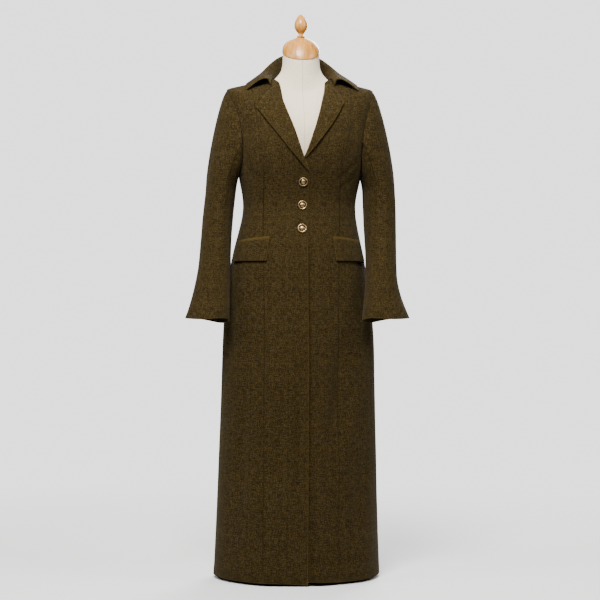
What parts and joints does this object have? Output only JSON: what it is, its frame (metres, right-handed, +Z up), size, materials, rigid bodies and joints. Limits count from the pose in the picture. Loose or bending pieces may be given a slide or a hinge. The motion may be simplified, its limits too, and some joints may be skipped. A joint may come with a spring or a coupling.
{
  "type": "long tweed coat on a limbless dress form",
  "caption": "Long fitted tweed coat with notched lapels, stand-and-fall collar, flap pockets and bell cuffs, standing on a limbless dress form with a turned neck cap.",
  "frame": {"origin": "centre of the stand's base underside, on the floor", "axes": "+Z up; the coat's front faces -Y; +X is the wearer's left"},
  "size_m": [0.569, 0.3299, 1.4597],
  "materials": {
    "tweed": "wool tweed",
    "brass": "antique satin",
    "beech": "satin lacquer",
    "jersey": "stretched jersey",
    "steel": "satin"
  },
  "bodies": {
    "root": {"front_right": "tweed", "front_left": "tweed", "side_front_right": "tweed", "side_front_left": "tweed", "back_right": "tweed", "back_left": "tweed", "lapel_right": "tweed", "lapel_left": "tweed", "collar": "tweed", "sleeve_top_right": "tweed", "sleeve_top_left": "tweed", "sleeve_under_right": "tweed", "sleeve_under_left": "tweed", "pocket_flap_right": "tweed", "pocket_flap_left": "tweed", "pocket_jet_right": "tweed", "pocket_jet_left": "tweed", "button_1": "brass", "button_2": "brass", "button_3": "brass", "form_torso": "jersey", "neck_cap": "beech", "finial": "beech", "pole": "steel", "base": "steel"}
  },
  "joints": []
}
